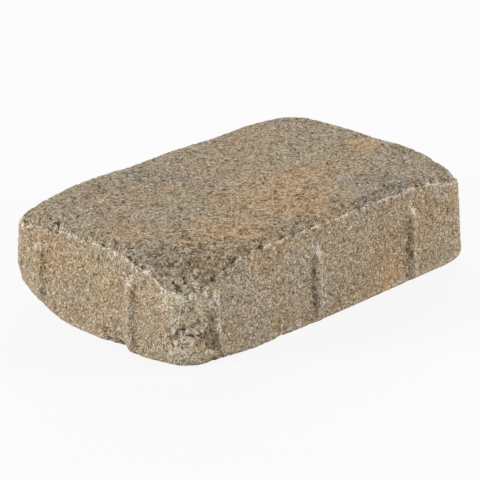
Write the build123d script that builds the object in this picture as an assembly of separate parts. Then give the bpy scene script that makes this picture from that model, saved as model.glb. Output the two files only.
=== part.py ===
from build123d import *
import os
from math import cos, exp, hypot, pi, radians, sin

# Concrete paving stone, one cast and tumbled piece, in millimetres.
# Z is up, X runs along the length. The origin is on the ground under the middle.

# Cast block, without its ribs
length = 223.2
width = 147.2
thickness = 60.3
draft = 1.5                 # how far each side leans in from foot to arris
side_bow = 0.9              # how far a long face bulges at its middle
foot_round = 1.2            # rounding of the bottom edge

# Rolled margin, which runs from the arris up onto the flat top
margin_drop = 4.4
margin_width = 6.5
top_blend = 36.0            # width of the band in which worn corners meet the flat top

# Tumbling wear of the four corners, keyed by the signs of X and Y: rounding in
# plan, then depth and reach of the wear from above and from below
corner_radius = {(-1, -1): 17.0, (-1, 1): 11.0, (1, -1): 10.0, (1, 1): 15.5}
top_wear = {(-1, -1): (16.0, 28.5), (-1, 1): (6.5, 28.5), (1, -1): (9.2, 23.0), (1, 1): (2.5, 28.5)}
foot_wear = {(-1, -1): (10.5, 30.0), (-1, 1): (23.5, 33.0), (1, -1): (4.2, 20.0), (1, 1): (2.0, 33.0)}
foot_run_share = 0.65       # how far in the foot wear runs, for each mm that it rises

# Single knocks in the edges: place in plan, as shares of half the length and of
# half the width, then depth and reach
arris_knocks = [(-0.20, 1, 1.3, 12.0), (0.36, 1, 1.2, 12.0), (1, -0.05, 0.8, 12.0), (-1, 0.5, 0.9, 11.0)]
foot_knocks = [
    (-1, 0.8, 2.2, 11.0),
    (-1, -0.03, 2.4, 16.0),
    (-0.97, -0.76, 2.2, 7.0),
    (-0.76, -1, 3.2, 11.0),
    (0.54, -1, 1.8, 13.0),
    (0.1, 1, 1.6, 14.0),
]

# Spacer ribs, cast on all four faces with one pitch
rib_pitch = 76.2
rib_height = 2.7            # how far a rib stands out of the middle of its face
rib_crest = 3.6
rib_flank = 3.1             # width that each sloping flank takes up
rib_top = 47.5
rib_taper = 8.0
rib_head_gap = 6.0          # least distance from a rib's top up to the worn arris
rib_bed = 5.0               # how deep a rib is rooted in the block
rib_sink = 1.0              # depth to which its flanks run on into the face
long_face_ribs = 3
end_face_ribs = 2
long_face_shift = -13.3     # ribs stand to one side of the middle of a face
end_face_shift = 8.5

# Chips out of two faces, each a shallow scoop: place along the face, height of
# the scoop's middle, radius of the scoop and how deep it bites
end_face_chips = [(-13.0, -12.0, 25.0, 6.4), (-20.5, -3.0, 9.5, 5.0)]
long_face_chips = [(-104.5, 13.0, 20.0, 5.2), (-83.0, -6.5, 14.5, 5.2), (-39.5, -2.0, 5.0, 2.2)]

arc_points = 6
long_side_points = 11
end_side_points = 7


def plan_points():
    """Points of the block's plan, anticlockwise, with bowed long sides."""
    half_l, half_w = length / 2, width / 2
    turns = [(1, 1, 0), (-1, 1, 90), (-1, -1, 180), (1, -1, 270)]
    arcs = []
    for sx, sy, start in turns:
        r = corner_radius[sx, sy]
        angles = [radians(start + 90 * k / (arc_points - 1)) for k in range(arc_points)]
        arcs.append([(sx * (half_l - r) + r * cos(a), sy * (half_w - r) + r * sin(a)) for a in angles])
    points = []
    for index, arc in enumerate(arcs):
        points += arc
        (px, py), (ex, ey) = arc[-1], arcs[(index + 1) % 4][0]
        between = long_side_points if index % 2 == 0 else end_side_points
        for k in range(1, between + 1):
            share = k / (between + 1)
            points.append((px + (ex - px) * share, py + (ey - py) * share))
    return [(x, y * (1 - side_bow / half_w * (x / half_l) ** 2)) for x, y in points]


def wear_at(x, y, corners, knocks):
    """Wear at a place in plan: full at a corner or knock, and little beyond its reach."""
    places = [(*signs, *wear) for signs, wear in corners.items()] + knocks
    total = 0
    for along, across, depth, reach in places:
        away = hypot(x - along * length / 2, y - across * width / 2)
        total += depth * exp(-((away / reach) ** 2))
    return total


def foot_height(x, y):
    """Height at which the side starts, above the rounded and worn foot."""
    return foot_round + wear_at(x, y, foot_wear, foot_knocks)


def arris_height(x, y):
    return thickness - margin_drop - wear_at(x, y, top_wear, arris_knocks)


def inset_point(point, inset):
    x, y = point
    return x * (1 - 2 * inset / length), y * (1 - 2 * inset / width)


def foot_ring(plan, turn):
    """Ring on the rounded foot, from the ground at 0 to the side at a right angle."""
    ring = []
    for point in plan:
        rise = foot_height(*point)
        run = foot_round + (rise - foot_round) * foot_run_share
        ring.append((*inset_point(point, run * (1 - sin(turn))), rise * (1 - cos(turn))))
    return ring


def side_ring(plan, share):
    """Ring on the side, from the foot's rounding at 0 to the arris at 1."""
    ring = []
    for point in plan:
        low, high = foot_height(*point), arris_height(*point)
        ring.append((*inset_point(point, draft * share), low + (high - low) * share))
    return ring


def top_ring(plan, inset):
    """Ring on the top at a distance in from the arris, over margin and worn corners."""
    ring = []
    rise = margin_drop * sin(pi / 2 * min(inset / margin_width, 1))
    for point in plan:
        x, y = inset_point(point, draft + inset)
        fade = 1 - (inset / (margin_width + top_blend)) ** 4
        worn = wear_at(x, y, top_wear, arris_knocks) * fade
        ring.append((x, y, thickness - margin_drop + rise - worn))
    return ring


def cast_block():
    """The block as one loft through level rings and rings that follow the wear."""
    plan = plan_points()
    rings = [foot_ring(plan, radians(turn)) for turn in (0, 20, 42, 66, 90)]
    rings += [side_ring(plan, share) for share in (0.5, 0.97)]
    rings += [top_ring(plan, margin_width * share) for share in (0.06, 0.25, 0.5, 0.75, 1)]
    rings += [top_ring(plan, margin_width + top_blend * share) for share in (0.2, 0.45, 0.72, 1)]
    curves = [Wire(Edge.make_spline([Vector(*p) for p in ring], periodic=True)) for ring in rings]
    return Solid.make_loft(curves, ruled=True)


def rib_section(height, proud):
    """Level section of a rib on a face that looks along -Y, rooted behind y = 0."""
    half = rib_crest / 2
    root = half + rib_flank * (1 + rib_sink / rib_height)
    shoulder = -proud + rib_height / 4
    crest = ThreePointArc((-half, shoulder), (0, -proud), (half, shoulder))
    right = Polyline((half, shoulder), (root, rib_sink), (root, rib_bed), (0, rib_bed))
    left = Polyline((0, rib_bed), (-root, rib_bed), (-root, rib_sink), (-half, shoulder))
    lean = draft * height / (thickness - margin_drop)
    return Pos(0, lean, height) * make_face(crest + right + left)


def spacer_rib(x, y):
    """The rib that stands on the block's side at a place in plan, still facing -Y."""
    foot = foot_height(x, y) * 0.8
    top = min(rib_top, arris_height(x, y) - rib_head_gap)
    levels = [
        rib_section(foot, rib_height * 0.4),
        rib_section(foot + rib_height, rib_height),
        rib_section(top - rib_taper, rib_height),
        rib_section(top, rib_height * 0.1),
    ]
    return loft(levels, ruled=True)


def all_ribs():
    ribs = []
    for side in (-1, 1):
        for index in range(long_face_ribs):
            x = -side * ((index - (long_face_ribs - 1) / 2) * rib_pitch + long_face_shift)
            y = side * width / 2
            ribs.append(Pos(x, y, 0) * Rot(0, 0, 90 + 90 * side) * spacer_rib(x, y))
        for index in range(end_face_ribs):
            x = side * length / 2
            y = -side * ((index - (end_face_ribs - 1) / 2) * rib_pitch + end_face_shift)
            ribs.append(Pos(x, y, 0) * Rot(0, 0, 90 * side) * spacer_rib(x, y))
    return ribs


def all_scoops():
    """Balls that take the chips out of the near long face and the end face at -X."""
    scoops = []
    for along, height, radius, bite in long_face_chips:
        scoops.append(Pos(along, -width / 2 - radius + bite, height) * Sphere(radius))
    for along, height, radius, bite in end_face_chips:
        scoops.append(Pos(-length / 2 - radius + bite, along, height) * Sphere(radius))
    return scoops


stone = cast_block().fuse(*all_ribs()).cut(*all_scoops())

box = stone.bounding_box()
stone = Pos(-box.center().X, -box.center().Y, -box.min.Z) * stone

os.makedirs("parts", exist_ok=True)
stone.label = "paving_stone"
export_step(stone, "parts/paving_stone.step")
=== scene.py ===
import bpy
import numpy as np
from mathutils import Matrix, Vector


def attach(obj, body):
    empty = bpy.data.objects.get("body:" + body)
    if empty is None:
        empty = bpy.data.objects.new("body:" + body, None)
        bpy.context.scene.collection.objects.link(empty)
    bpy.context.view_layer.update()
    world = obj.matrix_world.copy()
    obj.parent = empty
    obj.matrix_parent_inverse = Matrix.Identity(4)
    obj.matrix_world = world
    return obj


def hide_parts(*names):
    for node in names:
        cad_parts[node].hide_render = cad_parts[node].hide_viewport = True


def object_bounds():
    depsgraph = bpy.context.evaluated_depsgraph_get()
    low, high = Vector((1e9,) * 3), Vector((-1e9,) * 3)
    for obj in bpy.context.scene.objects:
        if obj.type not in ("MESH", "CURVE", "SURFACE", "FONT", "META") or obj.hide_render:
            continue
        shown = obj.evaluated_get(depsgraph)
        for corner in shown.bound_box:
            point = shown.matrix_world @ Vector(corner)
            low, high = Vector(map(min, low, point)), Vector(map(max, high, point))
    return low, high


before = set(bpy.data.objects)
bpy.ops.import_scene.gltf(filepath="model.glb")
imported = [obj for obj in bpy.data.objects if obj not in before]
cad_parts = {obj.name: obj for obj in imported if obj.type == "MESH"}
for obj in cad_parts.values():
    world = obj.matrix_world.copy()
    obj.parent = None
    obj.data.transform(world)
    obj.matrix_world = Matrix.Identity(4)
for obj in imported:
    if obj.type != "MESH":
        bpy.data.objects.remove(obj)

# A tumbled concrete paving stone on a pale floor, in metres

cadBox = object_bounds()
mmPerMetre = 1000
print("frame loaded")


def pickOnly(piece):
    bpy.ops.object.select_all(action="DESELECT")
    piece.select_set(True)
    bpy.context.view_layer.objects.active = piece


def applyModifier(piece, kind, **settings):
    modifier = piece.modifiers.new(kind.lower(), kind)
    for name, value in settings.items():
        setattr(modifier, name, value)
    pickOnly(piece)
    bpy.ops.object.modifier_apply(modifier=modifier.name)


def readVectors(piece, kind):
    # "co" is where each point lies, and "normal" is the way it faces
    flat = np.zeros(len(piece.data.vertices) * 3)
    piece.data.vertices.foreach_get(kind, flat)
    return flat.reshape(-1, 3)


def movePoints(piece, points):
    piece.data.vertices.foreach_set("co", points.ravel())
    piece.data.update()


def ease(values, low, high):
    # 0 up to low, 1 from high on, and a soft S between them
    t = np.clip((values - low) / (high - low), 0, 1)
    return t * t * (3 - 2 * t)


# The cast stone: one even net of small faces over the solid, which wear and relief then move.
# Sizes and depths of the net and the relief are in metres, heights and places in mm
casting = {
    "cell": 0.00098,           # face size of the net
    "weld": 0.00001,           # points nearer than this are one
    "softness": 0.5,           # how far one smoothing pass draws a point to its neighbours
    "softPasses": 1,           # passes that take the flat facets and sharp lines off
    "sharpPasses": 12,         # passes of the rounded copy over which a worn line stands out
    "sharpFull": 0.00040,      # how far it stands out where it is worn all through
    "broadPasses": 60,         # the same for whole edges and ribs
    "broadFull": 0.0010,
    "mostTriangles": 196000,
    "masks": ("paintedFlankShade", "turn", "margin", "rough", "crestHighlight", "hollowShade"),   # what the finish reads

    # Ranges over which each kind of wear and of painted light and shade comes in, or goes out where the
    # name says UpTo.
    # They are heights, or how far a face looks up, from 0 to 1
    "bedUpTo": (0.6, 2.0),
    "bedShare": 0.7,           # how much of the relief the bed face lacks
    "wornBedShare": 0.6,
    "marginFrom": (0.45, 0.65),
    "marginUpTo": (0.93, 0.985),
    "marginHeight": (35, 42),
    "arrisFrom": (0.10, 0.30),
    "arrisUpTo": (0.60, 0.78),
    "arrisHeight": (28, 34),
    "turnHeight": (26, 32),
    "wornLine": (0.35, 0.95),  # shares of sharpFull
    # Rib flanks that look toward the near corner get painted shade
    "flankShadeTo": (-0.7, -0.7, 0),  # the flanks that look this way, to the near corner
    "flankShadeLean": (0.14, 0.38),
    "flankShadeUpTo": (0.2, 0.4),

    # Places where the face has broken away to coarse aggregate: x, y, z, radius
    "roughPlaces": [
        (-106, -67, 20, 13),
        (-98, -71, 20, 10),
        (-88, -72, 5, 10),
        (-111, -14, 4, 11),
        (-108, 34, 57, 7),
        (-42, -70, 2, 7),
    ],
    "roughEdge": (0.35, 1.15),  # shares of the radius between which it fades out

    # Single dents and holes: x, y, z, radius, depth
    "dents": [
        (-105.0, 32.4, 58.8, 3.2, 1.7),
        (-108.6, -8.6, 57.4, 2.4, 1.4),
        (-107.0, 20.0, 58.2, 2.0, 0.9),
        (-103.0, -38.0, 57.5, 2.2, 1.0),
        (-106.0, 41.0, 58.5, 4.0, 0.8),
        (21.3, -72.0, 56.1, 2.6, 1.6),
        (-42.1, -61.6, 60.3, 3.0, 1.0),
        (-29.0, -60.0, 60.3, 2.2, 0.8),
        (49.6, -64.4, 60.2, 2.6, 1.6),
        (-101.0, -4.0, 59.0, 3.0, 1.2),
        (-98.0, 8.0, 59.5, 5.0, 0.9),
    ],
    "dentFloor": 0.2,          # share of the radius that is pressed in all the way

    # Relief layers, from the slow waves of the cast to broken stones: pattern, width, depth and
    # where. Those with stops are holes, which open between two grey levels of the pattern
    "relief": {
        "slowWaves": {"kind": "CLOUDS", "size": 0.022, "depth": 0.0003, "where": "open"},
        "lumps": {"kind": "CLOUDS", "size": 0.0055, "depth": 0.0006, "where": "open", "detail": 2},
        "sand": {"kind": "CLOUDS", "size": 0.0019, "depth": 0.0006, "where": "open"},
        "pores": {
            "kind": "CLOUDS", "size": 0.0030, "depth": 0.0008, "where": "open", "stops": (0.60, 0.72),
        },
        "marginPores": {
            "kind": "CLOUDS", "size": 0.0042, "depth": 0.0007, "where": "margin", "stops": (0.55, 0.69),
        },
        "crumbs": {"kind": "VORONOI", "size": 0.0028, "depth": 0.0018, "where": "worn"},
        "breaks": {
            "kind": "CLOUDS", "size": 0.0060, "depth": 0.0013, "where": "worn", "stops": (0.54, 0.66),
        },
        "stones": {"kind": "VORONOI", "size": 0.0032, "depth": 0.0015, "where": "rough"},
    },
    "cloudMiddle": 0.6,        # grey level of the clouds at which nothing moves
}


def copySolid(node, name):
    pickOnly(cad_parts[node])
    bpy.ops.object.duplicate()
    piece = bpy.context.view_layer.objects.active
    piece.name = name
    for tag in [tag for tag in piece.keys() if tag.startswith("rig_")]:
        del piece[tag]
    piece.parent = None
    piece.data.materials.clear()
    bpy.ops.object.mode_set(mode="EDIT")
    bpy.ops.mesh.select_all(action="SELECT")
    bpy.ops.mesh.remove_doubles(threshold=casting["weld"])
    bpy.ops.object.mode_set(mode="OBJECT")
    applyModifier(piece, "REMESH", mode="VOXEL", voxel_size=casting["cell"])
    applyModifier(piece, "SMOOTH", factor=casting["softness"], iterations=casting["softPasses"])
    return piece


def compareRounded(piece, passes, full):
    # How far each point stands out over a rounded copy, and which way that copy faces
    pickOnly(piece)
    bpy.ops.object.duplicate()
    rounded = bpy.context.view_layer.objects.active
    applyModifier(rounded, "SMOOTH", factor=casting["softness"], iterations=passes)
    normals = readVectors(rounded, "normal")
    standsOut = ((readVectors(piece, "co") - readVectors(rounded, "co")) * normals).sum(axis=1)
    bpy.data.objects.remove(rounded)
    return np.clip(standsOut / full, -1, 1), normals


def weigh(piece, name, weights, steps=50):
    # A group takes one weight for many points at a time, so the weights go in by steps
    group = piece.vertex_groups.new(name=name)
    levels = np.round(np.clip(weights, 0, 1) * steps).astype(int)
    for level in range(1, steps + 1):
        group.add(np.flatnonzero(levels == level).tolist(), level / steps, "REPLACE")


def reliefTexture(name, layer):
    texture = bpy.data.textures.new(name, layer["kind"])
    texture.noise_scale = layer["size"]
    if layer["kind"] == "CLOUDS":
        texture.noise_depth = layer.get("detail", 1)
    else:
        texture.distance_metric = "DISTANCE_SQUARED"
    if "stops" in layer:
        texture.use_color_ramp = True
        for stop, place in zip(texture.color_ramp.elements, layer["stops"]):
            stop.position = place
        texture.color_ramp.elements[0].color = (0, 0, 0, 1)
        texture.color_ramp.elements[1].color = (1, 1, 1, 1)
    return texture


def distances(points, place):
    # In mm, as places are
    return np.linalg.norm(points * mmPerMetre - np.array(place), axis=1)


def nearness(points, places):
    total = np.zeros(len(points))
    inner, outer = casting["roughEdge"]
    for x, y, z, radius in places:
        away = distances(points, (x, y, z))
        total = np.maximum(total, 1 - ease(away, radius * inner, radius * outer))
    return total


def pressDents(piece):
    points, normals = readVectors(piece, "co"), readVectors(piece, "normal")
    for x, y, z, radius, depth in casting["dents"]:
        away = distances(points, (x, y, z))
        push = (1 - ease(away, radius * casting["dentFloor"], radius)) * depth / mmPerMetre
        points -= normals * push[:, None]
    movePoints(piece, points)


def weighWearAndPaintedLight(piece):
    sharp, turning = compareRounded(piece, casting["sharpPasses"], casting["sharpFull"])
    broad, facing = compareRounded(piece, casting["broadPasses"], casting["broadFull"])
    points = readVectors(piece, "co")
    turningUp, facingUp, height = turning[:, 2], facing[:, 2], points[:, 2] * mmPerMetre
    bed = 1 - ease(height, *casting["bedUpTo"])
    margin = ease(facingUp, *casting["marginFrom"]) * (1 - ease(facingUp, *casting["marginUpTo"]))
    arris = ease(turningUp, *casting["arrisFrom"]) * (1 - ease(turningUp, *casting["arrisUpTo"]))
    arris = arris * ease(height, *casting["arrisHeight"])
    worn = np.maximum(arris, ease(sharp, *casting["wornLine"]))
    # How far a rib flank leans toward the near corner, where painted shade goes
    lean = ease(((turning - facing) * casting["flankShadeTo"]).sum(axis=1), *casting["flankShadeLean"])
    weigh(piece, "worn", worn * (1 - casting["wornBedShare"] * bed))
    weigh(piece, "margin", margin * ease(height, *casting["marginHeight"]))
    weigh(piece, "rough", nearness(points, casting["roughPlaces"]))
    weigh(piece, "open", 1 - casting["bedShare"] * bed)
    # Crests and ribs get a painted highlight, and hollows get painted shade
    weigh(piece, "crestHighlight", broad * (1 - bed))
    weigh(piece, "hollowShade", -broad)
    weigh(piece, "turn", turningUp * ease(height, *casting["turnHeight"]))
    weigh(piece, "paintedFlankShade", lean * (1 - ease(facingUp, *casting["flankShadeUpTo"])))


def carveRelief(piece):
    for name, layer in casting["relief"].items():
        # Holes and the gaps between crumbs only sink, and the other layers go both ways
        sinks = layer["kind"] == "VORONOI" or "stops" in layer
        applyModifier(
            piece,
            "DISPLACE",
            texture=reliefTexture(name, layer),
            texture_coords="LOCAL",
            vertex_group=layer["where"],
            strength=-layer["depth"] if sinks else layer["depth"],
            mid_level=0 if sinks else casting["cloudMiddle"],
        )


def fitToSolid(piece):
    # Grains that stand out of the solid's box are pressed flush with it
    movePoints(piece, np.clip(readVectors(piece, "co"), cadBox[0], cadBox[1]))


def groupWeights(piece, name):
    index = piece.vertex_groups[name].index
    found = [{g.group: g.weight for g in v.groups}.get(index, 0) for v in piece.data.vertices]
    return np.array(found)


def keepMask(piece, name, values):
    mask = piece.data.attributes.new(name, "FLOAT", "POINT")
    mask.data.foreach_set("value", values)


def castStone():
    piece = copySolid("paving_stone", "cast_paving_stone")
    print("skin made,", len(piece.data.vertices), "points")
    weighWearAndPaintedLight(piece)
    pressDents(piece)
    carveRelief(piece)
    triangles = 2 * len(piece.data.polygons)
    if triangles > casting["mostTriangles"]:
        applyModifier(piece, "DECIMATE", ratio=casting["mostTriangles"] / triangles)
    fitToSolid(piece)
    # A group and an attribute can't share a name, so the groups go first
    masks = {name: groupWeights(piece, name) for name in casting["masks"]}
    piece.vertex_groups.clear()
    for name, values in masks.items():
        keepMask(piece, name, values)
    pickOnly(piece)
    bpy.ops.object.shade_smooth()
    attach(piece, "root")
    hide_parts("paving_stone")
    print("relief carved,", len(piece.data.polygons), "faces")
    return piece


class Reading:
    # One socket of a material, which plain arithmetic joins to others
    def __init__(self, finish, socket):
        self.finish = finish
        self.socket = socket

    def maths(self, operation, *terms):
        inputs = dict(enumerate(terms))
        return self.finish.node("ShaderNodeMath", {"operation": operation}, inputs)

    def __add__(self, other):
        return self.maths("ADD", self, other)

    def __sub__(self, other):
        return self.maths("SUBTRACT", self, other)

    def __mul__(self, other):
        return self.maths("MULTIPLY", self, other)

    def __radd__(self, other):
        return self.maths("ADD", other, self)

    def __rsub__(self, other):
        return self.maths("SUBTRACT", other, self)

    def __rmul__(self, other):
        return self.maths("MULTIPLY", other, self)

    def ease(self, low, high):
        inputs = {"Value": self, "From Min": low, "From Max": high}
        return self.finish.node("ShaderNodeMapRange", {"interpolation_type": "SMOOTHSTEP"}, inputs)

    def most(self, other):
        return self.maths("MAXIMUM", self, other)

    def power(self, exponent):
        return self.maths("POWER", self, exponent)


class Finish:
    # One material's nodes
    def __init__(self, owner):
        owner.use_nodes = True
        self.tree = owner.node_tree
        self.tree.nodes.clear()

    def node(self, kind, settings=None, inputs=None, output=0):
        made = self.tree.nodes.new(kind)
        for name, value in (settings or {}).items():
            setattr(made, name, value)
        for name, value in (inputs or {}).items():
            if isinstance(value, Reading):
                self.tree.links.new(value.socket, made.inputs[name])
            else:
                made.inputs[name].default_value = value
        return Reading(self, made.outputs[output]) if made.outputs else None

    def blend(self, factor, first, second, way="MIX"):
        settings = {"data_type": "RGBA", "blend_type": way}
        return self.node("ShaderNodeMix", settings, {0: factor, 6: first, 7: second}, 2)

    def vector(self, operation, *terms, output=0):
        return self.node("ShaderNodeVectorMath", {"operation": operation}, dict(enumerate(terms)), output)

    def scaled(self, first, factor):
        return self.node("ShaderNodeVectorMath", {"operation": "SCALE"}, {0: first, "Scale": factor})

    def parts(self, colour):
        return [self.node("ShaderNodeSeparateColor", None, {"Color": colour}, index) for index in range(3)]

    def noise(self, place, size, detail, roughness, output="Fac"):
        inputs = {"Vector": place, "Scale": 1 / size, "Detail": detail, "Roughness": roughness}
        return self.node("ShaderNodeTexNoise", None, inputs, output)

    def cells(self, place, size):
        # How far a place lies from the middle of its grain, and three chance tones of that grain
        inputs = {"Vector": place, "Scale": 1 / size}
        away = self.node("ShaderNodeTexVoronoi", None, inputs, "Distance")
        return away, self.parts(self.node("ShaderNodeTexVoronoi", None, inputs, "Color"))


def fromScreen(colour):
    # A colour as a screen shows it, in the 0 to 1 light values that nodes take
    levels = [level / 255 for level in colour]
    light = [v / 12.92 if v < 0.0405 else ((v + 0.055) / 1.055) ** 2.4 for v in levels]
    return (*light, 1)


# Sand and cement of the face. Colours are as a screen shows them, and sizes, depths and places
# are in mm. A share is how much a reading adds, or takes away where it is below 0
concrete = {
    "coarseGrain": 1.5,
    "fineGrain": 0.78,
    "gravel": 3.2,
    "noises": {
        # name: size, detail, roughness
        "crumble": (2.4, 5, 0.72),
        "mottle": (5.5, 3, 0.6),
        "slowDrift": (26, 2, 0.5),
        "holes": (2.6, 3, 0.6),
        "crevices": (5.5, 4, 0.6),
        "lipBreaks": (3.6, 3, 0.6),
        "borders": (24, 5, 0.65),
    },
    "holesFrom": (37.0, 11.0, 5.0),        # shifts that part holes and crevices from like noises
    "crevicesFrom": (5.0, 61.0, 23.0),
    "borderReach": 42,         # how far the borders between tints wander
    "lipUneven": 0.9,          # how far the lip strays up and down
    "sideCrevices": 0.4,       # strength of the crevices on the sides, and what the top adds
    "topCrevices": 0.6,
    # Where each mask starts on its reading, and where it is full
    "steps": {
        "gaps": (0.42, 0.72),
        "holes": (0.63, 0.72),
        "creviceNear": (0.46, 0.495),
        "creviceFar": (0.54, 0.505),
        "swarms": (0.42, 0.58),
        "lipLow": (0.16, 0.26),
        "lipHigh": (0.46, 0.36),
        "slowDrift": (0.35, 0.65),
        "tints": (0.05, 0.80),
        "lightGrains": (0.95, 0.99),
        "lightGrainRim": (0.80, 0.50),
        "flecks": (0.90, 0.94),
        "paleStones": (0.96, 1.0),
        "paleStoneWear": (0.2, 0.4),
        "paleStoneRim": (0.55, 0.42),
        "specks": (0.89, 0.93),
    },
    # Wear that brings more of a kind, by its share
    "more": {
        "holes": {"margin": 0.03, "rough": 0.02},
        "swarms": {"margin": 0.2},
        "lightGrains": {"lip": 0.42, "rough": 0.22, "crestHighlight": 0.06},
        "flecks": {"lip": 0.50},
        "paleStones": {"pale": 0.45},
        "specks": {"margin": 0.04},
    },
    "depths": {
        "coarseGrain": 0.35,
        "fineGrain": 0.6,
        "fineTone": 0.3,       # fine grains with a light tone stand out, and dark ones lie low
        "crumble": 1.5,
        "marginCrumble": 0.9,
        "holes": 0.8,
        "gaps": 0.8,
        "crevices": 1.3,
    },
    "meanTone": 1.10,
    "toneShares": {
        # The grains and crumble shares follow the bump's height, so they paint shade in the low places and
        # light on the high ones
        "grains": 0.38,
        "crumble": 0.50,
        "fineTone": 0.70,
        "coarseTone": 0.10,
        "mottle": 0.32,
        "slowDrift": 0.15,
        # Painted highlight on crests and ribs, and painted shade in hollows
        "crestHighlight": 0.36,
        "hollowShade": -0.10,
        # Painted shade on the rib flanks that look toward the near corner
        "paintedFlankShade": -0.22,
        "lip": 0.60,
        "margin": 0.08,
        "turn": 0.11,
        # Painted shade in the crevices
        "crevice": -0.32,
    },
    "gravelTone": 0.9,         # the same where the face has broken away
    # Painted shade in the gaps between broken stones
    "gapShade": 0.3,
    "darkestTone": 0.16,
    "redPower": 0.78,          # dark grains keep their warmth and light ones turn pale
    "bluePower": 1.42,
    "gain": 1.25,              # makes up for the light that is lost between grains
    "roughness": 0.84,
    "crumbleRoughness": 0.12,
    "holeRoughness": 0.06,
    "specular": 0.25,
    "warmEnd": (1.03, 1.0, 0.96, 1),       # the body drifts slowly between these two
    "coolEnd": (0.97, 1.0, 1.04, 1),
    "lightGrain": (246, 234, 212),
    "lightCover": 0.62,        # how far the paint of these grains covers
    "paleStoneCover": 0.85,
    # Colour of the dark grains, also used as painted shade at the bottom of holes
    "darkGrainAndHoleShade": (68, 53, 36),
    "darkCover": 0.65,
    "paleStones": (-107, -66, 20, 9),      # x, y, z, radius
    "patchSpread": 1.5,        # a place of a tint fades out over this many radii
    "tintMottle": 0.30,        # how ragged its border is
    "body": (164, 145, 119),
    # Tints over the body, and where each lies: x, y, z, radius
    "tints": {
        "orangeSand": {
            "colour": (175, 147, 112),
            "places": [
                (-14, -34, 60, 36),
                (8, -50, 60, 26),
                (24, -12, 60, 30),
                (-54, -46, 60, 28),
                (-94, -6, 60, 18),
                (-104, -14, 57, 9),
                (44, -73, 8, 16),
                (90, -10, 60, 14),
                (-20, 74, 20, 34),
                (30, 30, 0, 38),
            ],
        },
        "brownSand": {
            "colour": (162, 140, 109),
            "places": [
                (-36, -66, 60, 18),
                (-80, -62, 56, 18),
                (14, -66, 59, 14),
                (60, -73, 24, 18),
                (20, -73, 12, 16),
                (70, -73, 44, 16),
                (-111, 38, 38, 20),
                (112, 20, 30, 28),
                (60, 74, 46, 24),
            ],
        },
        "greyLime": {
            "colour": (151, 136, 115),
            "places": [
                (56, -58, 60, 18),
                (34, -71, 56, 14),
                (-28, 41, 60, 18),
                (-19, -73, 28, 18),
                (-86, -73, 18, 12),
                (60, 74, 16, 26),
                (112, -40, 40, 26),
                (-20, -40, 0, 38),
            ],
        },
        "dryFines": {
            "colour": (165, 149, 126),
            "places": [
                (-62, -73, 30, 24),
                (-20, -73, 30, 26),
            ],
        },
        "khakiFines": {
            "colour": (164, 147, 117),
            "places": [
                (-46, 0, 60, 22),
                (50, 14, 60, 28),
                (-111, -4, 45, 20),
                (-70, 74, 40, 28),
            ],
        },
        # Partly the near corner's own pale lime cast, partly painted light where the lamps leave the near
        # corner dim
        "paleLimeAndPaintedLight": {
            "colour": (194, 177, 148),
            "places": [
                (-107, -67, 38, 19),
                (-106, -66, 8, 15),
                (-94, -73, 28, 9),
            ],
        },
    },
}


def patchMask(finish, place, places):
    total = None
    for x, y, z, radius in places:
        away = finish.vector("DISTANCE", place, (x, y, z), output="Value")
        near = 1 - away.ease(0, radius * concrete["patchSpread"])
        total = near if total is None else total.most(near)
    return total


def addShares(start, shares, readings):
    for name, share in shares.items():
        start = start + readings[name] * share
    return start


def tintedBody(finish, place, mottle, slow):
    # The tints run into each other over soft, wandering borders
    wander = finish.noise(place, *concrete["noises"]["borders"], output="Color")
    wander = finish.vector("SUBTRACT", wander, (0.5, 0.5, 0.5))
    drifted = finish.vector("ADD", place, finish.scaled(wander, concrete["borderReach"]))
    colour = fromScreen(concrete["body"])
    for tint in concrete["tints"].values():
        mask = patchMask(finish, drifted, tint["places"])
        mask = (mask + (mottle - 0.5) * concrete["tintMottle"]).ease(*concrete["steps"]["tints"])
        colour = finish.blend(mask, colour, fromScreen(tint["colour"]))
    drift = slow.ease(*concrete["steps"]["slowDrift"])
    warmth = finish.blend(drift, concrete["warmEnd"], concrete["coolEnd"])
    return finish.blend(1.0, colour, warmth, "MULTIPLY")


def shadedBody(finish, colour, tone):
    # Each grain's tone goes over the body colour
    tone = tone.most(concrete["darkestTone"])
    shades = {
        "Red": tone.power(concrete["redPower"]) * concrete["gain"],
        "Green": tone * concrete["gain"],
        "Blue": tone.power(concrete["bluePower"]) * concrete["gain"],
    }
    shaded = finish.node("ShaderNodeCombineColor", None, shades)
    return finish.blend(1.0, colour, shaded, "MULTIPLY")


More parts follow.
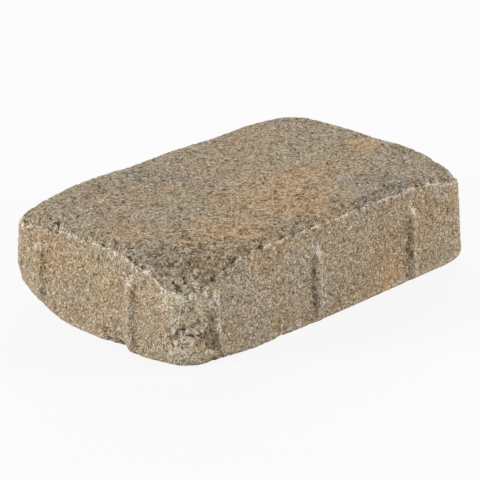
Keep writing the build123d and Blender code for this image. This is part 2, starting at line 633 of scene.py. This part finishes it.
def concreteFinish():
    material = bpy.data.materials.new("tumbledConcrete")
    finish = Finish(material)
    noises, steps = concrete["noises"], concrete["steps"]
    more, depths = concrete["more"], concrete["depths"]
    metres = finish.node("ShaderNodeTexCoord", output="Object")
    place = finish.scaled(metres, mmPerMetre)
    # Masks from the mesh: wear, and also the crest, hollow and flank masks that paint light and shade
    worn = {
        name: finish.node("ShaderNodeAttribute", {"attribute_name": name}, output="Fac")
        for name in casting["masks"]
    }
    margin, rough, turn = worn["margin"], worn["rough"], worn["turn"]

    # Sand grains are small domes of two sizes, and each has a tone of its own. The domes also darken the
    # tone between grains as painted shade
    coarse, coarseTones = finish.cells(place, concrete["coarseGrain"])
    fine, fineTones = finish.cells(place, concrete["fineGrain"])
    fineTone = fineTones[0] - 0.5
    grains = (coarse * coarse) * -depths["coarseGrain"] - (fine * fine) * depths["fineGrain"]
    grains = grains + fineTone * depths["fineTone"]
    gravel, gravelTones = finish.cells(place, concrete["gravel"])
    gaps = gravel.ease(*steps["gaps"])
    crumble = finish.noise(place, *noises["crumble"])
    mottle = finish.noise(place, *noises["mottle"])
    slow = finish.noise(place, *noises["slowDrift"])

    # Small holes, more of them on the margin and where the face has broken away
    shifted = finish.vector("ADD", place, concrete["holesFrom"])
    holes = finish.noise(shifted, *noises["holes"])
    holeMask = addShares(holes, more["holes"], worn).ease(*steps["holes"])

    # Short, thin crevices between crumbs, in loose swarms that are thickest on the top, painted dark as
    # shade
    shifted = finish.vector("ADD", place, concrete["crevicesFrom"])
    run = finish.noise(shifted, *noises["crevices"])
    swarm = addShares(mottle, more["swarms"], worn).ease(*steps["swarms"])
    swarm = swarm * (concrete["sideCrevices"] + turn * concrete["topCrevices"])
    crevice = run.ease(*steps["creviceNear"]) * run.ease(*steps["creviceFar"]) * swarm

    # The lip where a face turns into the margin is bare, light grain along a broken line
    breaks = finish.noise(place, *noises["lipBreaks"]) - 0.5
    lipPlace = turn + breaks * concrete["lipUneven"]
    worn["lip"] = lipPlace.ease(*steps["lipLow"]) * lipPlace.ease(*steps["lipHigh"])

    readings = {
        "grains": grains,
        "crumble": crumble - 0.5,
        "fineTone": fineTone,
        "coarseTone": coarseTones[0] - 0.5,
        "mottle": mottle - 0.5,
        "slowDrift": slow - 0.5,
        "crevice": crevice,
    }
    tone = addShares(concrete["meanTone"], concrete["toneShares"], {**readings, **worn})
    # Where the face has broken away: the gravel's own tone, and painted shade in the gaps
    broken = (gravelTones[0] - 0.5) * concrete["gravelTone"] - gaps * concrete["gapShade"]
    colour = shadedBody(finish, tintedBody(finish, place, mottle, slow), tone + rough * broken)

    # Light grains and flecks, most of them on the lip, and a few pale stones by the near corner
    lightMask = addShares(coarseTones[2], more["lightGrains"], worn).ease(*steps["lightGrains"])
    lightMask = lightMask * coarse.ease(*steps["lightGrainRim"])
    fleckMask = addShares(fineTones[2], more["flecks"], worn).ease(*steps["flecks"])
    worn["pale"] = patchMask(finish, place, [concrete["paleStones"]])
    stoneMask = addShares(gravelTones[1], more["paleStones"], worn).ease(*steps["paleStones"])
    stoneMask = stoneMask * rough.ease(*steps["paleStoneWear"]) * gravel.ease(*steps["paleStoneRim"])
    lightShare = lightMask.most(fleckMask) * concrete["lightCover"]
    lightShare = lightShare.most(stoneMask * concrete["paleStoneCover"])
    colour = finish.blend(lightShare, colour, fromScreen(concrete["lightGrain"]))

    # Dark grains, and painted shade at the bottom of each hole
    speckMask = addShares(fineTones[1], more["specks"], worn).ease(*steps["specks"])
    darkGrainAndShadeShare = holeMask.most(speckMask) * concrete["darkCover"]
    colour = finish.blend(darkGrainAndShadeShare, colour, fromScreen(concrete["darkGrainAndHoleShade"]))

    height = grains + readings["crumble"] * (depths["crumble"] + margin * depths["marginCrumble"])
    height = height - holeMask * depths["holes"] - rough * gaps * depths["gaps"]
    height = height - crevice * depths["crevices"]
    bump = {"Strength": 1.0, "Distance": 1 / mmPerMetre, "Height": height}
    roughness = concrete["roughness"] + crumble * concrete["crumbleRoughness"]
    shader = finish.node(
        "ShaderNodeBsdfPrincipled",
        None,
        {
            "Base Color": colour,
            "Roughness": roughness + holeMask * concrete["holeRoughness"],
            "Specular IOR Level": concrete["specular"],
            "Normal": finish.node("ShaderNodeBump", None, bump),
        },
    )
    finish.node("ShaderNodeOutputMaterial", None, {"Surface": shader})
    return material


stone = castStone()
stone.data.materials.append(concreteFinish())
print("concrete finish made")

# The studio: a pale floor, soft lamps to the left, right and back, and a plain sky. In metres
studio = {
    "floorSize": 12.0,
    "floorTone": 0.70,
    "shadowShare": 0.11,      # how much of the floor's own shading the camera sees
    "sky": 0.26,
    "lamps": {
        # name: direction from the stone, distance, size, watts
        "leftSoftbox": ((-0.85, 0.46, 0.24), 3.0, 1.0, 92),
        "rightSoftbox": ((0.64, -0.73, 0.24), 3.0, 1.0, 80),
        "backSoftbox": ((0.56, 0.60, 0.57), 3.0, 1.6, 49),
    },
}


def layFloor():
    bpy.ops.object.select_all(action="DESELECT")
    bpy.ops.mesh.primitive_plane_add(size=studio["floorSize"])
    floor = bpy.context.view_layer.objects.active
    floor.name = "pale_floor"
    material = bpy.data.materials.new("paleFloor")
    finish = Finish(material)
    tone = studio["floorTone"]
    matt = finish.node("ShaderNodeBsdfDiffuse", None, {"Color": (tone, tone, tone, 1)})
    white = finish.node("ShaderNodeEmission", None, {"Color": (1, 1, 1, 1), "Strength": 1.0})
    seen = finish.node("ShaderNodeLightPath", output="Is Camera Ray")
    share = seen * (1 - studio["shadowShare"])
    shader = finish.node("ShaderNodeMixShader", None, {0: share, 1: matt, 2: white})
    finish.node("ShaderNodeOutputMaterial", None, {"Surface": shader})
    floor.data.materials.append(material)


def hangLamp(name, direction, distance, size, watts):
    away = Vector(direction).normalized() * distance
    bpy.ops.object.light_add(type="AREA", location=away)
    lamp = bpy.context.view_layer.objects.active
    lamp.name = name
    lamp.data.shape = "DISK"
    lamp.data.size = size
    lamp.data.energy = watts
    lamp.rotation_mode = "QUATERNION"
    lamp.rotation_quaternion = (-away).to_track_quat("-Z", "Y")


def lightSky():
    world = bpy.data.worlds.new("plainSky")
    bpy.context.scene.world = world
    finish = Finish(world)
    sky = finish.node("ShaderNodeBackground", None, {"Color": (1, 1, 1, 1), "Strength": studio["sky"]})
    white = finish.node("ShaderNodeBackground", None, {"Color": (1, 1, 1, 1), "Strength": 1.0})
    seen = finish.node("ShaderNodeLightPath", output="Is Camera Ray")
    shader = finish.node("ShaderNodeMixShader", None, {0: seen, 1: sky, 2: white})
    finish.node("ShaderNodeOutputWorld", None, {"Surface": shader})


# The camera: a long lens that looks over the stone's near corner from a little above
view = {
    "azimuth": -43.079,        # degrees, as are elevation and roll
    "elevation": 21.901,
    "roll": -1.756,
    "distance": 1.26371,       # metres
    "aim": (0, 0, 0.030),
    "lens": 166.41,            # mm, as is the sensor
    "sensor": 36,
    "shiftX": -0.00583,
    "shiftY": -0.01970,
}


def placeCamera():
    around, above, roll = np.radians([view["azimuth"], view["elevation"], view["roll"]])
    back = Vector((np.sin(around) * np.cos(above), -np.cos(around) * np.cos(above), np.sin(above)))
    right = Vector((np.cos(around), np.sin(around), 0))
    up = back.cross(right)
    rolledRight = right * np.cos(roll) + up * np.sin(roll)
    rolledUp = up * np.cos(roll) - right * np.sin(roll)
    bpy.ops.object.camera_add(location=Vector(view["aim"]) + back * view["distance"])
    camera = bpy.context.view_layer.objects.active
    camera.rotation_mode = "QUATERNION"
    camera.rotation_quaternion = Matrix((rolledRight, rolledUp, back)).transposed().to_quaternion()
    camera.data.lens = view["lens"]
    camera.data.sensor_width = view["sensor"]
    camera.data.shift_x = view["shiftX"]
    camera.data.shift_y = view["shiftY"]
    bpy.context.scene.camera = camera


layFloor()
for name, settings in studio["lamps"].items():
    hangLamp(name, *settings)
lightSky()
placeCamera()
bpy.context.scene.view_settings.view_transform = "Standard"
print("studio and camera set")
